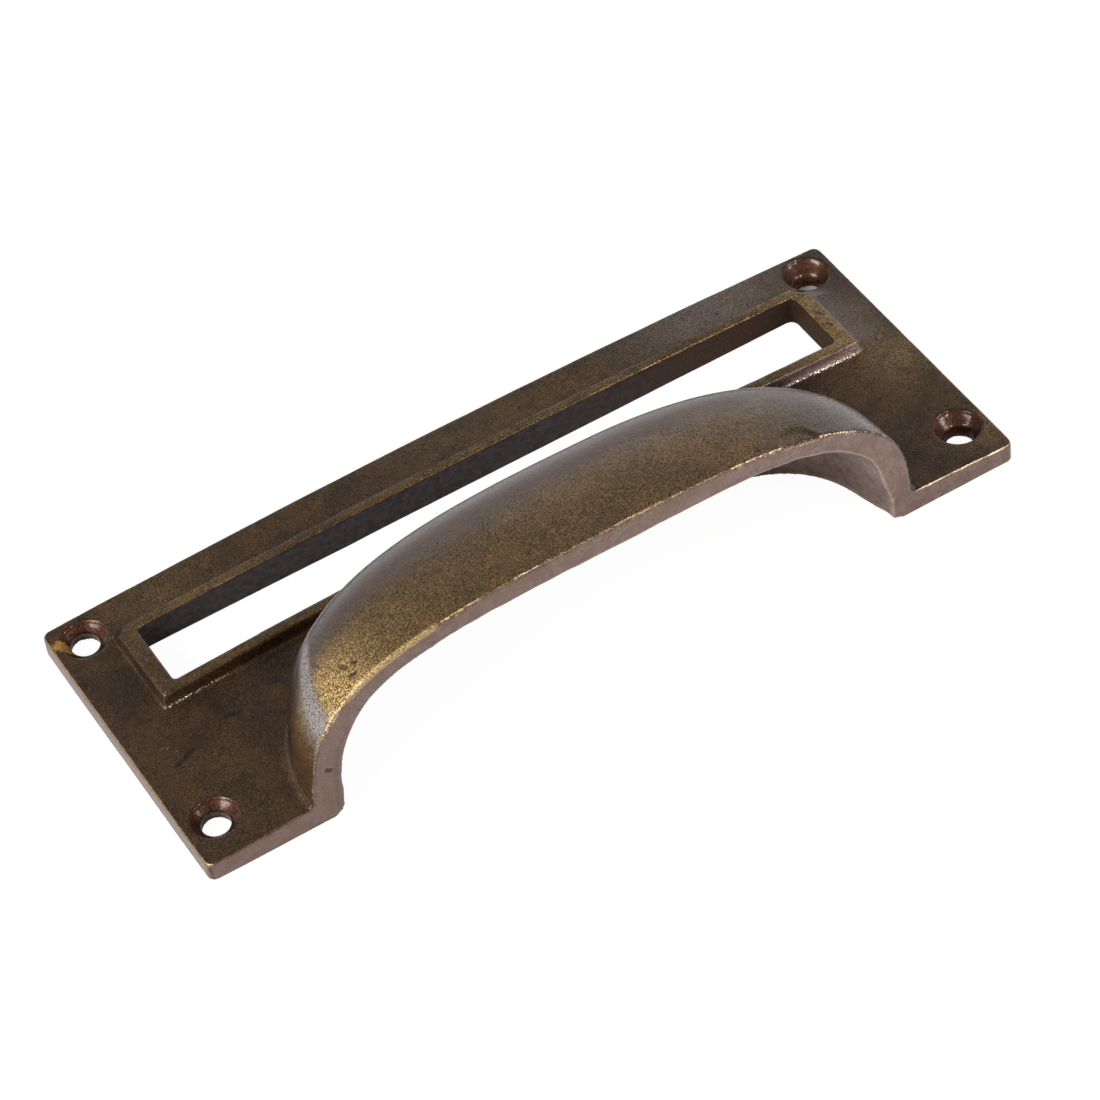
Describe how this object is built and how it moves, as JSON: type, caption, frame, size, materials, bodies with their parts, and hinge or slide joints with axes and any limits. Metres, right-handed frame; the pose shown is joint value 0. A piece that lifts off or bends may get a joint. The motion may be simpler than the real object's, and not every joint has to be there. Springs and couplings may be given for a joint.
{
  "type": "label frame pull",
  "caption": "Cast drawer pull: a flat-backed plate with countersunk screw holes, a raised frame round a through label window, and a hollow cup that fingers reach into from below.",
  "frame": {"origin": "centre of the plate's outline, in the flat back plane that lies against the drawer front", "axes": "+X along the plate, +Y up the drawer front from the cup to the label frame, +Z out of the drawer front"},
  "size_m": [0.13, 0.0502, 0.0273],
  "materials": {
    "brown_patina": "cast brass with an aged dark brown patina, satin, worn to golden brown on edges and crowns"
  },
  "bodies": {
    "root": {"label_frame_pull": "brown_patina"}
  },
  "joints": []
}
